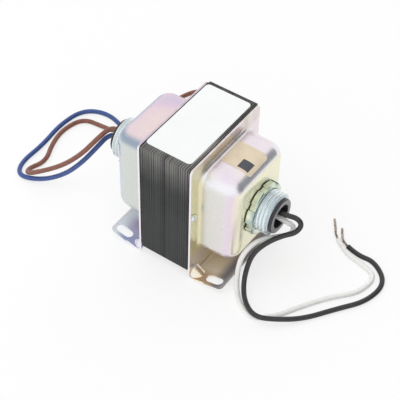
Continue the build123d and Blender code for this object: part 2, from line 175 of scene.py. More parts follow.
@dataclass(frozen=True)
class YellowChromate(Finish):
    """Zinc plate with a yellow chromate: a thin film whose colour drifts between lilac, cream and green.

    The eye sees a pale satin metal whose tint changes with the way that the drawn steel faces.
    """

    side_stops: Stops = (
        (0.0, "#e3e1dc"), (0.25, "#e7dfe7"), (0.55, "#eddbe8"), (0.8, "#f6efdc"), (1.0, "#f8f5d8"))
    low_stops: Stops = ((0.0, "#efe4f2"), (0.4, "#f4e2fb"), (1.0, "#fffbd0"))
    top_stops: Stops = ((0.3, "#eadfee"), (0.5, "#f1e7ec"), (0.7, "#f3eadc"))
    foot_stops: Stops = (
        (0.0, "#c0a282"), (0.1, "#c9ae8e"), (0.25, "#f2e6cc"), (0.6, "#f2e4c0"), (1.0, "#ecd6c8"))
    flange_stops: Stops = (
        (0.0, "#e9e4bc"), (0.12, "#e6dfb8"), (0.35, "#d8d0c2"), (0.7, "#ece0da"), (1.0, "#f7eaf0"))
    flange_low_tint: str = "#e9e6e2"
    # Painted highlight on the flanks of the darts in the foot's bend
    dart_highlight_tint: str = "#fbf1d8"
    tip_tint: str = "#7e7c7e"
    # Painted light on the rounded edges between walls and top: a white highlight on the primary bell,
    # blue-grey painted shade on the secondary bell
    edge_painted_light: str = "#f4f4fa"
    root_tint: str = "#d0c6b4"
    rim_tint: str = "#f6f0f6"
    metallic: float = 0.72
    foot_metallic: float = 0.4
    roughness: float = 0.24
    foot_roughness: float = 0.15
    polish: float = 0.05
    dulling: float = 0.07
    # The film's thickness drifts over one or two centimetres, and in streaks along the edges
    cloud_size: float = 16.0
    cloud_share: float = 0.3
    streak_size: float = 14.0
    streak_stretch: float = 3.0
    # The plate's grain is under 0.1 mm, too fine to show, and is drawn as coarse as it needs to show
    grain_size: float = 0.35
    grain_height: float = 0.02
    grain_strength: float = 0.04
    foot_reach: tuple[float, float] = (-29.0, 6.0)
    flange_reach: tuple[float, float] = (-29.0, 29.0)
    dull_spans: Spans = (("height", 9.0, 4.0), ("up", 0.85, 0.97))

    def coats(self) -> tuple[Coat, ...]:
        """Lists the film's coats from the lowest up.

        Returns:
            The walls, their lower part, the flange, the rounded edges with their painted light, the top, the
            foot with a painted highlight on its darts' flanks, the cup's root on top, and the flange's rim.
        """
        return (
            Coat(self.side_stops, follows="clouded_end"),
            Coat(self.low_stops, (("height", 26.0, 8.0),), "clouded_end"),
            Coat(self.flange_stops, (("out", 19.2, 18.2), ("end", 0.1, 0.3)), "along_flange",
                 (Coat(self.flange_low_tint, (("height", 18.0, 8.0),)),)),
            # Painted light on the rounded edges: a highlight on the primary bell, shade on the secondary
            Coat(self.edge_painted_light, (("up", 0.25, 0.6),)),
            Coat(self.top_stops, (("up", 0.7, 0.97),), "cloud"),
            Coat(self.foot_stops, (("height", 6.0, 4.0),), "along_foot",
                 (Coat(self.tip_tint, (("out", 24.0, 31.0),)),
                  # Painted highlight: the darts' flanks on the foot are pale cream
                  Coat(self.dart_highlight_tint, (("flank", 0.1, 0.4), ("out", 23.5, 22.5))))),
            Coat(self.root_tint, (("out", 19.5, 15.5), ("height", 63.0, 66.0), ("streaks", 0.2, 0.9))),
            Coat(self.rim_tint, (("out", 16.9, 16.6), ("across", 26.0, 27.0), ("flank", 0.5, 0.8))),
        )

    def measures(self, tree: Tree, place: Socket) -> dict[str, Socket]:
        """Measures the surface: where it is, which way it faces, and its clouds and streaks.

        Args:
            tree: the node tree.
            place: the object coordinates.

        Returns:
            A socket for each measure's name.
        """
        normal = add(tree, "SeparateXYZ", Vector=add(tree, "NewGeometry").outputs["Normal"])
        in_mm = add(tree, "VectorMath", {"operation": "SCALE"}, i0=place, Scale=1 / MM)
        at = add(tree, "SeparateXYZ", Vector=in_mm.outputs["Vector"])
        found = {"height": at.outputs["Z"], "up": normal.outputs["Z"]}
        for name, source in (("out", at.outputs["X"]), ("across", at.outputs["Y"]),
                             ("end", normal.outputs["X"]), ("flank", normal.outputs["Y"])):
            found[name] = add(tree, "Math", UNSIGNED, i0=source).outputs[0]
        cloud = add(tree, "TexNoise", Vector=place, Scale=per_mm(self.cloud_size), Detail=3.0,
                    Roughness=0.55).outputs["Fac"]
        drift = add(tree, "Math", PRODUCT_AND_SUM, i0=cloud, i1=self.cloud_share,
                    i2=-self.cloud_share / 2).outputs[0]
        stretched = add(tree, "Mapping", Vector=place, Scale=(1.0, self.streak_stretch, 1.0)).outputs[0]
        found["cloud"] = cloud
        found["streaks"] = add(tree, "TexNoise", Vector=stretched, Scale=per_mm(self.streak_size),
                               Detail=2.0).outputs["Fac"]
        along = {}
        for name, (near, far) in (("foot", self.foot_reach), ("flange", self.flange_reach)):
            along[name] = add(tree, "MapRange", SOFT_SHARE, Value=at.outputs["Y"], From_Min=near,
                              From_Max=far).outputs["Result"]
        found["along_flange"] = along["flange"]
        for name, source in (("clouded_end", found["end"]), ("along_foot", along["foot"])):
            found[name] = add(tree, "Math", {"operation": "ADD", "use_clamp": True}, i0=source,
                              i1=drift).outputs[0]
        return found

    def share(self, tree: Tree, found: dict[str, Socket],
              spans: Spans) -> Socket:
        """Works out how far all of the spans allow something.

        Args:
            tree: the node tree.
            found: the surface's measures.
            spans: at least one span.

        Returns:
            A share from 0 to 1.
        """
        total = None
        for name, start, full in spans:
            part = add(tree, "MapRange", SOFT_SHARE, Value=found[name], From_Min=start,
                       From_Max=full).outputs["Result"]
            total = part if total is None else add(tree, "Math", PRODUCT, i0=total, i1=part).outputs[0]
        return total

    def paint(self, tree: Tree, found: dict[str, Socket],
              coats: tuple[Coat, ...], colour: Socket | None = None) -> Socket:
        """Lays coats over one another.

        Args:
            tree: the node tree.
            found: the surface's measures.
            coats: the coats from the lowest up.
            colour: what they lie on, or nothing where the first coat covers all.

        Returns:
            The colour of them all.
        """
        for coat in coats:
            if isinstance(coat.colour, str):
                layer = linear(coat.colour)
            else:
                layer = add(tree, "ValToRGB", {"stops": coat.colour},
                            Fac=found[coat.follows]).outputs["Color"]
            if coat.tints:
                layer = self.paint(tree, found, coat.tints, layer)
            if coat.spans:
                layer = add(tree, "Mix", COLOUR_MIX, Factor=self.share(tree, found, coat.spans), i6=colour,
                            i7=layer).outputs[2]
            colour = layer
        return colour

    def build(self) -> bpy.types.Material:
        """Makes the material: the film over a fine grain, and a duller and less metallic foot.

        Returns:
            The material.
        """
        material, tree, shader, place = self.start()
        found = self.measures(tree, place)
        colour = self.paint(tree, found, self.coats())
        grain = add(tree, "TexNoise", Vector=place, Scale=per_mm(self.grain_size), Detail=2.0).outputs["Fac"]
        rough = add(tree, "MapRange", Value=grain, To_Min=self.roughness - self.polish,
                    To_Max=self.roughness + self.dulling)
        on_foot = self.share(tree, found, self.dull_spans)
        duller = add(tree, "Math", PRODUCT_AND_SUM, i0=on_foot, i1=self.foot_roughness,
                     i2=rough.outputs["Result"])
        metal = add(tree, "MapRange", Value=on_foot, To_Min=self.metallic, To_Max=self.foot_metallic)
        bump = add(tree, "Bump", Strength=self.grain_strength, Distance=self.grain_height * MM, Height=grain)
        tree.links.new(metal.outputs["Result"], shader.inputs["Metallic"])
        tree.links.new(colour, shader.inputs["Base Color"])
        tree.links.new(duller.outputs[0], shader.inputs["Roughness"])
        tree.links.new(bump.outputs["Normal"], shader.inputs["Normal"])
        return material


@dataclass(frozen=True)
class VarnishedLaminations(Finish):
    """Silicon steel sheets on edge under baked varnish: dark and dull, each a little lighter or darker."""

    # A sheet is 0.5 mm thick, too fine to show in the render. So the sheets are drawn as coarse as they
    # need to show, with every other one lighter.
    pitch: float = 0.62
    chance_share: float = 0.35
    alternate_share: float = 0.35
    # The varnish runs in smears of a few millimetres
    smear_size: float = 6.0
    smear_share: float = 0.4
    # Half the width of the dark line in the middle of the stack, as coarse as it needs to show
    seam: float = 0.28
    seam_colour: str = "#151516"
    side_stops: Stops = ((0.15, "#272829"), (0.85, "#444545"))
    # The sides grow lighter towards the top
    upper_band_stops: Stops = ((0.2, "#444545"), (0.8, "#8b8a87"))
    top_stops: Stops = ((0.15, "#6c6965"), (0.85, "#aeaaa2"))
    upper_band_height: tuple[float, float] = (50.0, 75.0)
    top_facing: tuple[float, float] = (0.5, 0.8)
    # The cut edges' burrs are under 0.1 mm wide, and are drawn as coarse as they need to show
    burr_size: float = 0.6
    burr_height: float = 0.03
    burr_strength: float = 0.3
    roughness: float = 0.55
    specular: float = 0.3

    def build(self) -> bpy.types.Material:
        """Makes the material: the shade changes from sheet to sheet, and is browner on top.

        Returns:
            The material.
        """
        material, tree, shader, place = self.start()
        at = add(tree, "SeparateXYZ", Vector=place)
        normal = add(tree, "SeparateXYZ", Vector=add(tree, "NewGeometry").outputs["Normal"])
        sheets = add(tree, "Math", PRODUCT, i0=at.outputs["X"], i1=1 / (self.pitch * MM))
        index = add(tree, "Math", {"operation": "FLOOR"}, i0=sheets.outputs[0])
        chance = add(tree, "TexWhiteNoise", {"noise_dimensions": "1D"}, W=index.outputs[0])
        every_other = add(tree, "Math", {"operation": "PINGPONG"}, i0=index.outputs[0], i1=1.0)
        smear = add(tree, "TexNoise", Vector=place, Scale=per_mm(self.smear_size), Detail=4.0)
        share = add(tree, "Math", PRODUCT, i0=every_other.outputs[0], i1=self.alternate_share).outputs[0]
        for source, amount in ((smear.outputs["Fac"], self.smear_share),
                               (chance.outputs["Value"], self.chance_share)):
            share = add(tree, "Math", PRODUCT_AND_SUM, i0=source, i1=amount, i2=share).outputs[0]
        side, upper_band_colour, top = (add(tree, "ValToRGB", {"stops": stops}, Fac=share).outputs["Color"]
                             for stops in (self.side_stops, self.upper_band_stops, self.top_stops))
        low, high = self.upper_band_height
        # Lighter towards the top of the sides
        upper = add(tree, "MapRange", SOFT_SHARE, Value=at.outputs["Z"], From_Min=low * MM,
                    From_Max=high * MM)
        middle = add(tree, "Math", WITHIN, i0=at.outputs["X"], i1=0.0, i2=self.seam * MM)
        up = add(tree, "MapRange", Value=normal.outputs["Z"], From_Min=self.top_facing[0],
                 From_Max=self.top_facing[1])
        colour = side
        for where, over in ((upper.outputs["Result"], upper_band_colour), (middle.outputs[0], linear(self.seam_colour)),
                            (up.outputs["Result"], top)):
            colour = add(tree, "Mix", COLOUR_MIX, Factor=where, i6=colour, i7=over).outputs[2]
        burrs = add(tree, "TexNoise", Vector=place, Scale=per_mm(self.burr_size), Detail=2.0)
        bump = add(tree, "Bump", Strength=self.burr_strength, Distance=self.burr_height * MM,
                   Height=burrs.outputs["Fac"])
        tree.links.new(colour, shader.inputs["Base Color"])
        tree.links.new(bump.outputs["Normal"], shader.inputs["Normal"])
        shader.inputs["Roughness"].default_value = self.roughness
        shader.inputs["Specular IOR Level"].default_value = self.specular
        return material


@dataclass(frozen=True)
class PlatedMetal(Finish):
    """Clear zinc or tin plate, or bare drawn metal: bright, with wear that drifts in tone and gloss.

    The seat shadow reaches a distance along the hub axis: nearer the body than that, the metal is painted
    near-black as the shadow where a nut sits. The thread gives its axis's height and the radii of its root
    and its crest, and its root is painted darker as shade in the grooves.
    """

    colour: str = "#f6fcfe"
    worn: str = "#e6f0f0"
    roughness: float = 0.26
    polish: float = 0.06
    dulling: float = 0.1
    metallic: float = 1.0
    # Handling wears the plate in patches of a few millimetres
    grain_size: float = 2.5
    worn_place: float = 0.35
    bright_place: float = 0.65
    # Nearer the body than this along the hub axis, the metal is painted near-black as the shadow where the
    # nut sits
    seat_shadow_reach: float = 0.0
    seat_shadow_colour: str = "#0c0c0d"
    thread: tuple[float, float, float] | None = None
    root_shade_colour: str = "#d0dce3"

    def build(self) -> bpy.types.Material:
        """Makes the material: gloss and tone drift a little, a painted shadow darkens the seat, and painted
        shade darkens a thread's root.

        Returns:
            The material.
        """
        material, tree, shader, place = self.start()
        grain = add(tree, "TexNoise", Vector=place, Scale=per_mm(self.grain_size), Detail=4.0).outputs["Fac"]
        stops = ((self.worn_place, self.worn), (self.bright_place, self.colour))
        colour = add(tree, "ValToRGB", {"stops": stops}, Fac=grain).outputs["Color"]
        rough = add(tree, "MapRange", Value=grain, To_Min=self.roughness - self.polish,
                    To_Max=self.roughness + self.dulling)
        # Painted shade: the thread is darker towards its root
        if self.thread:
            height, root, crest = self.thread
            around = add(tree, "VectorMath", PRODUCT_AND_SUM, i0=place, i1=(0, 1, 1), i2=(0, 0, -height * MM))
            radius = add(tree, "VectorMath", {"operation": "LENGTH"}, i0=around.outputs["Vector"])
            share = add(tree, "MapRange", Value=radius.outputs["Value"], From_Min=root * MM,
                        From_Max=crest * MM)
            colour = add(tree, "Mix", COLOUR_MIX, Factor=share.outputs["Result"],
                         i6=linear(self.root_shade_colour), i7=colour).outputs[2]
        # Painted shadow: near-black where the nut sits on the bell
        if self.seat_shadow_reach:
            at = add(tree, "SeparateXYZ", Vector=place)
            out = add(tree, "Math", UNSIGNED, i0=at.outputs["X"])
            near = add(tree, "Math", {"operation": "LESS_THAN"}, i0=out.outputs[0], i1=self.seat_shadow_reach * MM)
            colour = add(tree, "Mix", COLOUR_MIX, Factor=near.outputs[0], i6=colour,
                         i7=linear(self.seat_shadow_colour)).outputs[2]
        shader.inputs["Metallic"].default_value = self.metallic
        tree.links.new(colour, shader.inputs["Base Color"])
        tree.links.new(rough.outputs["Result"], shader.inputs["Roughness"])
        return material


@dataclass(frozen=True)
class MouldedPlastic(Finish):
    """Moulded or extruded plastic: one colour with a faint mottle and a soft gloss."""

    colour: str = "#2a2a2c"
    mottle: str = "#323234"
    plain_place: float = 0.3
    mottle_place: float = 0.7
    roughness: float = 0.4
    polish: float = 0.06
    dulling: float = 0.08
    # Pigment and flow vary over a couple of millimetres
    mottle_size: float = 2.0
    # The skin's unevenness is about 0.05 mm, and is drawn as coarse as it needs to show
    skin_size: float = 0.25
    skin_height: float = 0.01
    skin_strength: float = 0.1

    def build(self) -> bpy.types.Material:
        """Makes the material: the mottle moves colour and gloss, and the skin is slightly uneven.

        Returns:
            The material.
        """
        material, tree, shader, place = self.start()
        mottle = add(tree, "TexNoise", Vector=place, Scale=per_mm(self.mottle_size),
                     Detail=3.0).outputs["Fac"]
        stops = ((self.plain_place, self.colour), (self.mottle_place, self.mottle))
        colour = add(tree, "ValToRGB", {"stops": stops}, Fac=mottle)
        rough = add(tree, "MapRange", Value=mottle, To_Min=self.roughness - self.polish,
                    To_Max=self.roughness + self.dulling)
        skin = add(tree, "TexNoise", Vector=place, Scale=per_mm(self.skin_size), Detail=1.0)
        bump = add(tree, "Bump", Strength=self.skin_strength, Distance=self.skin_height * MM,
                   Height=skin.outputs["Fac"])
        tree.links.new(colour.outputs["Color"], shader.inputs["Base Color"])
        tree.links.new(rough.outputs["Result"], shader.inputs["Roughness"])
        tree.links.new(bump.outputs["Normal"], shader.inputs["Normal"])
        return material


@dataclass(frozen=True)
class BushingNylon(Finish):
    """Moulded black nylon: its flat mouth is painted grey as a highlight, with scuffs that add a little grey,
    and its round sides stay dark.
    """

    round_colour: str = "#2b2b2d"
    face_highlight_colour: str = "#8c8e91"
    round_place: float = 0.85
    face_highlight_place: float = 1.0
    # Scuffs from pulled wires are a millimetre or two long
    scuff_size: float = 1.5
    scuff_share: float = 0.2
    roughness: float = 0.38

    def build(self) -> bpy.types.Material:
        """Makes the material: the painted grey highlight follows the faces that look along the hub axis.

        Returns:
            The material.
        """
        material, tree, shader, place = self.start()
        normal = add(tree, "SeparateXYZ", Vector=add(tree, "NewGeometry").outputs["Normal"])
        # Painted highlight: faces that look along the hub axis turn grey
        axis_facing_highlight = add(tree, "Math", UNSIGNED, i0=normal.outputs["X"]).outputs[0]
        scuffs = add(tree, "TexNoise", Vector=place, Scale=per_mm(self.scuff_size), Detail=3.0)
        share = add(tree, "Math", PRODUCT_AND_SUM, i0=scuffs.outputs["Fac"], i1=self.scuff_share, i2=axis_facing_highlight)
        stops = ((self.round_place, self.round_colour), (self.face_highlight_place, self.face_highlight_colour))
        colour = add(tree, "ValToRGB", {"stops": stops}, Fac=share.outputs[0])
        tree.links.new(colour.outputs["Color"], shader.inputs["Base Color"])
        shader.inputs["Roughness"].default_value = self.roughness
        return material


@dataclass(frozen=True)
class FoilSticker(Finish):
    """Gold foil, pale and slightly mottled, with one plain dark square on it."""

    colour: str = "#e6d6bd"
    mottle: str = "#dccab0"
    plain_place: float = 0.3
    mottle_place: float = 0.7
    # The foil lies unevenly over about half a centimetre
    mottle_size: float = 5.0
    patch: str = "#474a50"
    patch_low: tuple[float, float] = (25.0, -6.5)
    patch_high: tuple[float, float] = (30.8, -0.7)
    roughness: float = 0.4

    def build(self) -> bpy.types.Material:
        """Makes the material: the square is kept to its two ranges of places.

        Returns:
            The material.
        """
        material, tree, shader, place = self.start()
        at = add(tree, "SeparateXYZ", Vector=place)
        inside = 1.0
        for axis, low, high in zip("XY", self.patch_low, self.patch_high):
            share = add(tree, "Math", WITHIN, i0=at.outputs[axis], i1=(low + high) / 2 * MM,
                        i2=(high - low) / 2 * MM)
            inside = add(tree, "Math", PRODUCT, i0=inside, i1=share.outputs[0]).outputs[0]
        mottle = add(tree, "TexNoise", Vector=place, Scale=per_mm(self.mottle_size), Detail=3.0)
        stops = ((self.plain_place, self.colour), (self.mottle_place, self.mottle))
        foil = add(tree, "ValToRGB", {"stops": stops}, Fac=mottle.outputs["Fac"])
        colour = add(tree, "Mix", COLOUR_MIX, Factor=inside, i6=foil.outputs["Color"], i7=linear(self.patch))
        tree.links.new(colour.outputs[2], shader.inputs["Base Color"])
        shader.inputs["Roughness"].default_value = self.roughness
        return material


def mesh_object(name: str, shape: bmesh.types.BMesh, material: bpy.types.Material) -> bpy.types.Object:
    """Makes an object of a bmesh, smooth shaded, with one material, and links it to the scene.

    Args:
        name: the piece's name.
        shape: its mesh, which is freed.
        material: its finish.

    Returns:
        The new object, at the origin.
    """
    mesh = bpy.data.meshes.new(name)
    shape.to_mesh(mesh)
    shape.free()
    mesh.materials.append(material)
    mesh.polygons.foreach_set("use_smooth", [True] * len(mesh.polygons))
    piece = bpy.data.objects.new(name, mesh)
    bpy.context.scene.collection.objects.link(piece)
    return piece


def settle(piece: bpy.types.Object, nodes: tuple[str, ...] = ()) -> bpy.types.Object:
    """Ties a piece to the body and the nodes that it stands for.

    Args:
        piece: the finished piece.
        nodes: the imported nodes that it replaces.

    Returns:
        The same piece.
    """
    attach(piece, "root")
    if nodes:
        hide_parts(*nodes)
    log.info("%s stands for %s", piece.name, ", ".join(nodes) or "no node")
    return piece


@dataclass
class MachinedCopy:
    """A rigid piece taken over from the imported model, with clean faces and softened edges."""

    node: str
    slot: str
    material: bpy.types.Material
    edge: float = 0.15
    edge_segments: int = 2
    sharp_deg: float = 35.0
    flat_deg: float = 0.4
    merge: float = 0.0005

    def build(self) -> bpy.types.Object:
        """Merges the node's loose triangles, softens its sharp edges and settles it in the node's place.

        Returns:
            The new piece.
        """
        shape = bmesh.new()
        shape.from_mesh(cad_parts[self.node].data)
        bmesh.ops.remove_doubles(shape, verts=shape.verts, dist=self.merge * MM)
        bmesh.ops.dissolve_limit(shape, angle_limit=math.radians(self.flat_deg), verts=shape.verts,
                                 edges=shape.edges)
        piece = mesh_object(self.node + "_finished", shape, self.material)
        if self.edge:
            bevel = piece.modifiers.new("edge", "BEVEL")
            bevel.width = self.edge * MM
            bevel.segments = self.edge_segments
            bevel.limit_method = "ANGLE"
            bevel.angle_limit = math.radians(self.sharp_deg)
        weighted = piece.modifiers.new("normals", "WEIGHTED_NORMAL")
        weighted.keep_sharp = True
        return settle(piece, (self.node,))


@dataclass
class ThreadedNipple:
    """A conduit nipple with its thread of 14 turns to the inch, turned from a profile and a helical ridge."""

    side: Side
    material: bpy.types.Material
    height: float = 39.405
    back: float = 32.02
    shoulder: float = 1.8
    shoulder_radius: float = 13.0
    front: float = 44.75
    bore_radius: float = 7.9
    crest_radius: float = 10.6
    root_radius: float = 9.75
    pitch: float = 1.81
    thread_start: float = 37.0
    crest_flat: float = 0.3
    chamfer: float = 0.5
    steps: int = 72
    # The ridge reaches into the body, and a hair's gap keeps its turns apart
    hidden_root: float = 0.3
    turn_gap: float = 0.02
    edge: float = 0.06
    sharp_deg: float = 25.0

    def ring(self, shape: bmesh.types.BMesh) -> None:
        """Turns the nipple's body about the hub axis.

        Args:
            shape: the bmesh that takes it.
        """
        neck = self.back + self.shoulder
        profile = [(self.back, self.bore_radius), (self.back, self.shoulder_radius),
                   (neck, self.shoulder_radius), (neck, self.root_radius),
                   (self.front - self.chamfer / 2, self.root_radius),
                   (self.front, self.root_radius - self.chamfer), (self.front, self.bore_radius)]
        verts = [shape.verts.new((x * MM, 0, (self.height + r) * MM)) for x, r in profile]
        edges = [shape.edges.new(pair) for pair in zip(verts, verts[1:] + verts[:1])]
        bmesh.ops.spin(shape, geom=verts + edges, cent=(0, 0, self.height * MM), axis=(1, 0, 0),
                       angle=math.tau, steps=self.steps, use_merge=True)

    def ridge(self) -> bmesh.types.BMesh:
        """Winds the thread's ridge and cuts it square at both ends.

        Returns:
            The closed ridge.
        """
        thread = bmesh.new()
        turns = math.ceil((self.front - self.thread_start) / self.pitch) + 1
        start = self.thread_start - self.pitch
        half, flat, base = self.pitch / 2, self.crest_flat / 2, self.root_radius - self.hidden_root
        end = half - self.turn_gap
        profile = [(-half, base), (-half, self.root_radius), (-flat, self.crest_radius),
                   (flat, self.crest_radius), (end, self.root_radius), (end, base)]
        verts = [thread.verts.new(((start + x) * MM, 0, (self.height + r) * MM)) for x, r in profile]
        edges = [thread.edges.new(pair) for pair in zip(verts, verts[1:] + verts[:1])]
        count = turns * self.steps
        bmesh.ops.spin(thread, geom=verts + edges, cent=(0, 0, self.height * MM), axis=(1, 0, 0),
                       dvec=(self.pitch / self.steps * MM, 0, 0), angle=math.tau * turns, steps=count)
        for place, outward in ((self.thread_start, (-1, 0, 0)), (self.front - self.chamfer, (1, 0, 0))):
            cut = bmesh.ops.bisect_plane(thread, geom=thread.verts[:] + thread.edges[:] + thread.faces[:],
                                         plane_co=(place * MM, 0, 0), plane_no=outward, clear_outer=True)
            rim = [item for item in cut["geom_cut"] if isinstance(item, bmesh.types.BMEdge)]
            bmesh.ops.holes_fill(thread, edges=rim, sides=0)
        return thread

    def build(self) -> bpy.types.Object:
        """Makes the nipple, turned to its side of the body.

        Returns:
            The new piece.
        """
        shape = bmesh.new()
        self.ring(shape)
        thread = self.ridge()
        wound = bpy.data.meshes.new("thread")
        thread.to_mesh(wound)
        thread.free()
        shape.from_mesh(wound)
        bpy.data.meshes.remove(wound)
        if self.side is Side.SECONDARY:
            bmesh.ops.rotate(shape, verts=shape.verts, cent=(0, 0, 0),
                             matrix=Matrix.Rotation(math.pi, 3, "Z"))
        bmesh.ops.recalc_face_normals(shape, faces=shape.faces)
        piece = mesh_object(self.side.word + "_nipple_threaded", shape, self.material)
        bevel = piece.modifiers.new("edge", "BEVEL")
        bevel.width = self.edge * MM
        bevel.segments = 1
        bevel.limit_method = "ANGLE"
        bevel.angle_limit = math.radians(self.sharp_deg)
        weighted = piece.modifiers.new("normals", "WEIGHTED_NORMAL")
        weighted.keep_sharp = True
        return settle(piece, (self.side.word + "_nipple",))


@dataclass
class Lead:
    """A lead of stranded hook-up wire: its insulation on one smooth line, and its bared strands."""

    colour: str
    route: list[Point]
    strand_route: list[Point]
    insulation: bpy.types.Material
    metal: bpy.types.Material
    length: float
    exit: Point
    diameter: float = 2.5
    # Such wire has more and thinner strands: these are drawn as coarse as they need to show
    strands: int = 9
    strand_diameter: float = 0.32
    bundle_radius: float = 0.5
    inner_every: int = 3
    inner_share: float = 0.35
    twist_pitch: float = 9.0
    order: int = 3
    steps: int = 12
    wire_roundness: int = 6
    strand_roundness: int = 2

    def line(self, name: str, points: list[Point]) -> bpy.types.Object:
        """Makes a smooth open line through the given route.

        Args:
            name: the object's name.
            points: the route's points in millimetres.

        Returns:
            A curve object with no thickness.
        """
        data = bpy.data.curves.new(name, "CURVE")
        data.dimensions = "3D"
        data.resolution_u = self.steps
        spline = data.splines.new("NURBS")
        spline.points.add(len(points) - 1)
        for point, place in zip(spline.points, points):
            point.co = (*(value * MM for value in place), 1.0)
        spline.order_u = self.order
        spline.use_endpoint_u = True
        piece = bpy.data.objects.new(name, data)
        bpy.context.scene.collection.objects.link(piece)
        return piece

    def strand_bundle(self) -> bpy.types.Object:
        """Makes the bared strands, twisted about each other along their own route.

        Returns:
            A curve object with one thin line for each strand.
        """
        guide = self.line(self.colour + "_strand_guide", self.strand_route)
        bpy.context.view_layer.update()
        sampled = bpy.data.meshes.new_from_object(guide)
        places = [vertex.co.copy() for vertex in sampled.vertices]
        bpy.data.meshes.remove(sampled)
        bpy.data.objects.remove(guide)
        data = bpy.data.curves.new(self.colour + "_strand_bundle", "CURVE")
        data.dimensions = "3D"
        data.bevel_depth = self.strand_diameter / 2 * MM
        data.bevel_resolution = self.strand_roundness
        data.use_fill_caps = True
        for index in range(self.strands):
            spline = data.splines.new("POLY")
            spline.points.add(len(places) - 1)
            travelled = 0.0
            ring = self.bundle_radius * (1.0 if index % self.inner_every else self.inner_share)
            for step, place in enumerate(places):
                ahead = places[min(step + 1, len(places) - 1)] - places[max(step - 1, 0)]
                side = ahead.cross(Vector((0, 0, 1))).normalized()
                up = side.cross(ahead).normalized()
                if step:
                    travelled += (place - places[step - 1]).length
                angle = 2 * math.pi * (index / self.strands + travelled / (self.twist_pitch * MM))
                offset = (side * math.cos(angle) + up * math.sin(angle)) * ring * MM
                spline.points[step].co = (*(place + offset), 1.0)
        bundle = bpy.data.objects.new(data.name, data)
        bpy.context.scene.collection.objects.link(bundle)
        data.materials.append(self.metal)
        return bundle

    def build(self) -> bpy.types.Object:
        """Returns:
            The insulation.
        """
        wire = self.line(self.colour + "_lead_wire", self.route)
        wire.data.bevel_depth = self.diameter / 2 * MM
        wire.data.bevel_resolution = self.wire_roundness
        wire.data.use_fill_caps = True
        wire.data.materials.append(self.insulation)
        settle(wire, (self.colour + "_lead",))
        bundle = settle(self.strand_bundle(), (self.colour + "_lead_strands",))
        return wire


@dataclass
class PhotoCamera:
    """The camera that took the photograph, as fitted to the outlines of the core and the hub."""

    azimuth_deg: float = 33.691
    elevation_deg: float = 46.495
    roll_deg: float = 1.696
    focal_pixels: float = 1174.67
    image_pixels: float = 400.0
    sensor_mm: float = 36.0
    distance: float = 560.3
    right_offset: float = -0.714
    up_offset: float = 11.39
    target_height: float = 38.30

    def build(self) -> bpy.types.Object:
        """Places the camera and makes it the scene's.

        Returns:
            The camera object.
        """
        a, e, r = (math.radians(v) for v in (self.azimuth_deg, self.elevation_deg, self.roll_deg))
        forward = Vector((-math.sin(a) * math.cos(e), math.cos(a) * math.cos(e), -math.sin(e)))
        level_right = Vector((math.cos(a), math.sin(a), 0.0))
        level_up = level_right.cross(forward)
        right = level_right * math.cos(r) + level_up * math.sin(r)
        up = level_up * math.cos(r) - level_right * math.sin(r)
        place = -right * self.right_offset - up * self.up_offset - forward * self.distance
        place.z += self.target_height
        data = bpy.data.cameras.new("photo_camera")
        data.sensor_width = self.sensor_mm
        data.lens = self.focal_pixels / self.image_pixels * self.sensor_mm
        camera = bpy.data.objects.new("photo_camera", data)
        turn = Matrix((right, up, -forward)).transposed().to_4x4()
        camera.matrix_world = Matrix.Translation(place * MM) @ turn
        bpy.context.scene.collection.objects.link(camera)
        bpy.context.scene.camera = camera
        return camera


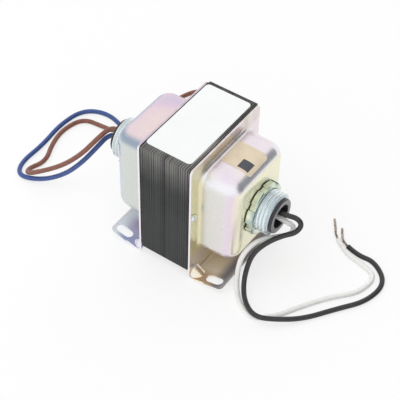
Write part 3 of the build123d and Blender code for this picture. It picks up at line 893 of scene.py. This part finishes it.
@dataclass
class Studio:
    """A pale floor, a pale surround and a soft lamp."""

    floor_half: float = 3000.0
    floor_colour: str = "#f8f8f8"
    floor_roughness: float = 0.9
    floor_specular: float = 0.1
    paper_white: float = 0.7
    strength: float = 0.97
    dark_direction: Point = (0.84, 0.38, 0.38)
    dark_edge: float = 0.74
    dark_core: float = 0.94
    dark_colour: str = "#3f434c"
    lamp_place: Point = (-250.0, -350.0, 1200.0)
    lamp_aim: Point = (0.0, 0.0, 30.0)
    lamp_size: float = 1100.0
    lamp_watts: float = 4.0

    def floor(self) -> None:
        """Lays the floor that the feet stand on: it keeps shadows, and is partly plain white to the eye."""
        shape = bmesh.new()
        bmesh.ops.create_grid(shape, x_segments=1, y_segments=1, size=self.floor_half * MM)
        material = bpy.data.materials.new("pale_floor")
        material.use_nodes = True
        tree = material.node_tree
        shader = tree.nodes["Principled BSDF"]
        shader.inputs["Base Color"].default_value = linear(self.floor_colour)
        shader.inputs["Roughness"].default_value = self.floor_roughness
        shader.inputs["Specular IOR Level"].default_value = self.floor_specular
        ray = add(tree, "LightPath")
        seen = add(tree, "Math", {"operation": "MAXIMUM"}, i0=ray.outputs["Is Camera Ray"],
                   i1=ray.outputs["Is Glossy Ray"])
        share = add(tree, "Math", PRODUCT, i0=seen.outputs[0], i1=self.paper_white)
        white = add(tree, "Emission", Strength=1.0)
        both = add(tree, "MixShader", Fac=share.outputs[0], i1=shader.outputs[0], i2=white.outputs[0])
        tree.links.new(both.outputs[0], tree.nodes["Material Output"].inputs["Surface"])
        mesh_object("floor", shape, material)

    def surround(self) -> None:
        """Lights the scene from all round, dark in one reach beyond the primary hub and white behind."""
        world = bpy.data.worlds.new("surround")
        world.use_nodes = True
        bpy.context.scene.world = world
        tree = world.node_tree
        shade = tree.nodes["Background"]
        direction = add(tree, "TexCoord").outputs["Generated"]
        toward = add(tree, "VectorMath", {"operation": "DOT_PRODUCT"}, i0=direction, i1=self.dark_direction)
        dark = add(tree, "MapRange", SOFT_SHARE, Value=toward.outputs["Value"], From_Min=self.dark_edge,
                   From_Max=self.dark_core)
        colour = add(tree, "ValToRGB", {"stops": ((0.0, "#ffffff"), (1.0, self.dark_colour))},
                     Fac=dark.outputs["Result"])
        seen = add(tree, "LightPath").outputs["Is Camera Ray"]
        plain = add(tree, "Mix", COLOUR_MIX, Factor=seen, i6=colour.outputs["Color"], i7=linear("#ffffff"))
        tree.links.new(plain.outputs[2], shade.inputs["Color"])
        shade.inputs["Strength"].default_value = self.strength

    def lamp(self) -> None:
        """Hangs a square soft lamp that faces the object and that no gloss mirrors."""
        data = bpy.data.lights.new("key_lamp", "AREA")
        data.size = self.lamp_size * MM
        data.energy = self.lamp_watts
        light = bpy.data.objects.new("key_lamp", data)
        light.location = Vector(self.lamp_place) * MM
        toward = Vector(self.lamp_aim) - Vector(self.lamp_place)
        light.rotation_euler = toward.to_track_quat("-Z", "Y").to_euler()
        light.visible_glossy = False
        bpy.context.scene.collection.objects.link(light)

    def build(self) -> None:
        """Sets up the floor, the surround and the lamp."""
        self.floor()
        self.surround()
        self.lamp()
        bpy.context.scene.view_settings.view_transform = "Standard"


def built(finish: Finish) -> bpy.types.Material:
    """Returns a dataclass field that makes a finish's material when its owner is made."""
    return field(default_factory=finish.build)


@dataclass
class Finishes:
    """The finishes of the whole object, one for each of its materials."""

    # Pale satin walls that turn from white through lilac to cream, over a bronze foot
    primary_bell: bpy.types.Material = built(YellowChromate("yellow_chromate_zinc"))
    # A thinner film on the far bell: greyer walls, a lilac top, and a foot from steel blue to cyan
    secondary_bell: bpy.types.Material = built(YellowChromate(
        "thin_yellow_chromate_zinc",
        side_stops=((0.0, "#d6dad5"), (0.3, "#cfd8d8"), (0.6, "#c9cfd9"), (1.0, "#d8d3c4")),
        low_stops=((0.0, "#d4dad6"), (1.0, "#c3c8d2")),
        top_stops=((0.3, "#d9c9de"), (0.5, "#e6d0dc"), (0.7, "#ecdcd8")),
        foot_stops=((0.0, "#939cc0"), (0.12, "#b0b0cc"), (0.32, "#b8a4c4"), (0.55, "#eaf2fa"),
                    (0.8, "#f4fefc")),
        flange_stops=((0.0, "#d8d3c4"), (0.5, "#d6d4d0"), (1.0, "#dcd6e0")),
        flange_low_tint="#e2dce6", dart_highlight_tint="#f2eef6", tip_tint="#d9e3e8", edge_painted_light="#9aa8ba",
        root_tint="#b7b3bd", foot_metallic=0.15))
    # Near-black sheets with fine upright lines, lighter towards the top
    core: bpy.types.Material = built(VarnishedLaminations("varnished_silicon_steel"))
    # A cool, bright metal, with painted shade that darkens the thread's grooves
    hub: bpy.types.Material = built(PlatedMetal(
        "clear_zinc_plate", metallic=0.7, thread=(39.405, 9.75, 10.3), grain_size=4.0))
    # A gloss painted pale green as the bell's reflection in the clear zinc, with a near-black painted shadow
    # line where the nut sits on the bell
    nut: bpy.types.Material = built(PlatedMetal(
        "zinc_plate_painted_green_reflection", colour="#e6edd6", worn="#b4c2bf", roughness=0.18, grain_size=5.0, seat_shadow_reach=35.35))
    # The same gloss in pale lilac, with the same near-black painted shadow line where the nut sits on the
    # bell
    far_nut: bpy.types.Material = built(PlatedMetal(
        "lilac_zinc_plate", colour="#efebf5", worn="#d3d2e0", roughness=0.2, grain_size=5.0, seat_shadow_reach=35.35))
    # A small bright grey head
    rivet: bpy.types.Material = built(PlatedMetal("zinc_plated_steel", colour="#d8dcdf"))
    # A dark ring with a mouth painted grey as a highlight
    nylon: bpy.types.Material = built(BushingNylon("moulded_black_nylon"))
    # A warm off-white with a soft gloss
    bobbin: bpy.types.Material = built(MouldedPlastic(
        "moulded_natural_nylon", colour="#dcd8c8", mottle="#d2cdbb"))
    # Reddish copper under clear enamel
    wire: bpy.types.Material = built(PlatedMetal(
        "enamelled_copper", colour="#b0622f", worn="#8e4a22", roughness=0.35, grain_size=0.6))
    # A glossy amber yellow
    tape: bpy.types.Material = built(MouldedPlastic(
        "polyester_tape", colour="#d9b12e", mottle="#cfa424", roughness=0.3))
    # A bright soft grey
    splice: bpy.types.Material = built(PlatedMetal("pressed_tinned_crimp", colour="#c9c8c4"))
    # An even, cool white with little gloss
    label: bpy.types.Material = built(MouldedPlastic(
        "white_label_film", colour="#f3f5f4", mottle="#eff2f1", roughness=0.45, mottle_size=12.0))
    # A pale gold with little gloss
    sticker: bpy.types.Material = built(FoilSticker("rolled_gold_foil"))
    # A dull silver with brownish hollows between the wires
    strands: bpy.types.Material = built(PlatedMetal(
        "tinned_copper_strands", colour="#ddd3c8", worn="#9a8878", roughness=0.4, grain_size=1.2))
    # A smooth skin in each lead's own colour, with a soft light along its back
    black: bpy.types.Material = built(MouldedPlastic(
        "extruded_black_pvc", colour="#29292b", mottle="#343437", roughness=0.34))
    white: bpy.types.Material = built(MouldedPlastic(
        "extruded_white_pvc", colour="#f0f0ee", mottle="#e9e9e6", roughness=0.42))
    blue: bpy.types.Material = built(MouldedPlastic(
        "extruded_blue_pvc", colour="#324a86", mottle="#3d5896", roughness=0.32))
    brown: bpy.types.Material = built(MouldedPlastic(
        "extruded_brown_pvc", colour="#77483a", mottle="#885848", roughness=0.32))


@dataclass
class Transformer:
    """The whole object: its core, bells, hubs, coil, labels and leads."""

    finishes: Finishes = field(default_factory=Finishes)

    def core(self) -> None:
        """Dresses the two stacks and their rivets."""
        for node in ("core_e_stack", "core_i_stack"):
            MachinedCopy(node, "core_steel", self.finishes.core, edge=0.0).build()
        MachinedCopy("core_rivets", "rivet_steel", self.finishes.rivet, edge=0.08).build()

    def end(self, side: Side) -> None:
        """Dresses a bell and its hub.

        Args:
            side: which end of the hub axis.
        """
        bell, nut = {Side.PRIMARY: (self.finishes.primary_bell, self.finishes.nut),
                     Side.SECONDARY: (self.finishes.secondary_bell, self.finishes.far_nut)}[side]
        MachinedCopy(side.word + "_bell", "bell_zinc", bell, edge=0.12).build()
        ThreadedNipple(side, self.finishes.hub).build()
        MachinedCopy(side.word + "_locknut", "hub_zinc", nut, edge=0.3, edge_segments=3).build()
        MachinedCopy(side.word + "_bushing", "bushing_nylon", self.finishes.nylon, edge=0.1).build()

    def coil(self) -> None:
        """Gives the hidden pieces of the coil their finishes."""
        hidden = {"bobbin": self.finishes.bobbin}
        for side in Side:
            hidden[side.word + "_winding"] = self.finishes.wire
            hidden[side.word + "_tape"] = self.finishes.tape
            hidden[side.word + "_splices"] = self.finishes.splice
        for node, material in hidden.items():
            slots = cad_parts[node].data.materials
            slots.clear()
            slots.append(material)
            log.info("%s keeps its packed mesh", node)

    def labels(self) -> None:
        """Dresses the bare label and the bare sticker."""
        MachinedCopy("top_label", "label_film", self.finishes.label, edge=0.05).build()
        MachinedCopy("bell_sticker", "sticker_foil", self.finishes.sticker, edge=0.04).build()

    def leads(self) -> None:
        """Lays the four leads."""
        Lead("black",
             [(30.5, 0.4, 41.005), (40.0, 0.4, 41.005), (48.5, 0.6, 41.2), (53.6, 2.6, 40.6),
              (56.6, 2.4, 38.0), (55.4, -1.0, 34.8), (50.6, -4.0, 32.6), (45.2, -8.8, 28.8),
              (40.0, -12.0, 20.5), (38.7, -14.6, 11.5), (40.2, -19.2, 4.6), (46.4, -27.4, 4.2),
              (55.0, -32.4, 4.6), (64.0, -27.4, 4.2), (73.0, -17.5, 1.25), (82.5, -3.6, 1.25),
              (92.0, 9.0, 1.25), (94.0, 24.0, 1.25), (83.0, 33.0, 1.25), (74.0, 31.6, 1.25),
              (67.4, 33.9, 1.25)],
             [(67.4, 33.9, 1.25), (64.0, 35.085, 1.25), (61.2, 38.8, 1.25), (59.0, 42.6, 1.25)],
             self.finishes.black, self.finishes.strands, 191.0, (46.5, 0.5, 41.1)).build()
        Lead("white",
             [(30.5, 0.8, 37.405), (40.0, 0.8, 37.405), (48.0, 0.9, 36.9), (53.0, 2.6, 34.4),
              (52.4, 0.2, 30.8), (46.4, -3.4, 28.4), (39.2, -8.6, 25.8), (36.4, -16.0, 20.5),
              (36.2, -18.8, 11.5), (37.6, -20.9, 1.5), (43.8, -27.6, 1.25), (52.5, -32.0, 1.25),
              (61.5, -24.5, 1.25), (68.5, -11.5, 1.25), (77.0, 1.4, 1.25), (86.4, 11.5, 1.25),
              (88.4, 25.0, 1.25), (77.5, 28.0, 1.25), (68.0, 29.6, 1.25), (61.1, 35.0, 1.25)],
             [(61.1, 35.0, 1.25), (58.3, 37.191, 1.25), (56.2, 41.0, 1.25), (52.6, 45.9, 1.25)],
             self.finishes.white, self.finishes.strands, 183.0, (46.5, 0.9, 37.1)).build()
        Lead("blue",
             [(-30.5, 0.8, 37.405), (-40.0, 0.8, 37.405), (-48.0, 0.9, 37.2), (-53.5, -1.0, 36.4),
              (-55.4, -8.0, 32.4), (-60.6, -14.0, 23.5), (-70.0, -17.5, 12.0), (-83.0, -21.0, 3.2),
              (-96.0, -24.6, 1.25), (-101.5, -16.5, 1.25), (-101.0, 1.0, 1.25), (-103.6, 18.0, 1.25),
              (-101.0, 35.0, 1.25), (-88.0, 41.0, 1.25), (-73.0, 36.0, 1.25), (-58.0, 35.0, 1.25),
              (-45.0, 41.0, 1.25)],
             [(-45.0, 41.0, 1.25), (-42.0, 42.385, 1.25), (-37.5, 43.2, 1.25), (-33.0, 42.6, 1.25)],
             self.finishes.blue, self.finishes.strands, 204.0, (-46.5, 0.9, 37.3)).build()
        Lead("brown",
             [(-30.5, 0.4, 41.005), (-40.0, 0.4, 41.005), (-48.0, 0.9, 41.2), (-53.0, -0.6, 41.0),
              (-55.4, -8.0, 37.6), (-60.8, -14.0, 29.0), (-70.0, -17.5, 19.0), (-81.0, -20.0, 10.5),
              (-91.5, -22.5, 4.0), (-95.4, -17.5, 1.4), (-91.5, -8.0, 1.25), (-97.5, 4.5, 1.25),
              (-99.8, 16.5, 1.25), (-96.5, 29.5, 1.25), (-84.0, 30.8, 1.25), (-74.0, 29.0, 4.4),
              (-66.0, 41.0, 4.4), (-65.5, 57.0, 1.25), (-64.5, 75.0, 1.25), (-58.0, 88.0, 1.25),
              (-46.0, 90.0, 1.25)],
             [(-46.0, 90.0, 1.25), (-43.0, 90.5, 1.25), (-39.0, 89.9, 1.25), (-35.0, 87.5, 1.25)],
             self.finishes.brown, self.finishes.strands, 230.0, (-46.5, 0.6, 41.1)).build()

    def build(self) -> None:
        """Builds the leads first, then everything that is rigid."""
        self.leads()
        self.core()
        for side in Side:
            self.end(side)
        self.coil()
        self.labels()


def main() -> None:
    """Builds the camera, the object and the studio."""
    logging.basicConfig(level=logging.INFO, format="%(name)s: %(message)s")
    PhotoCamera().build()
    Transformer().build()
    Studio().build()
    bpy.context.view_layer.update()


if __name__ == "__main__":
    main()
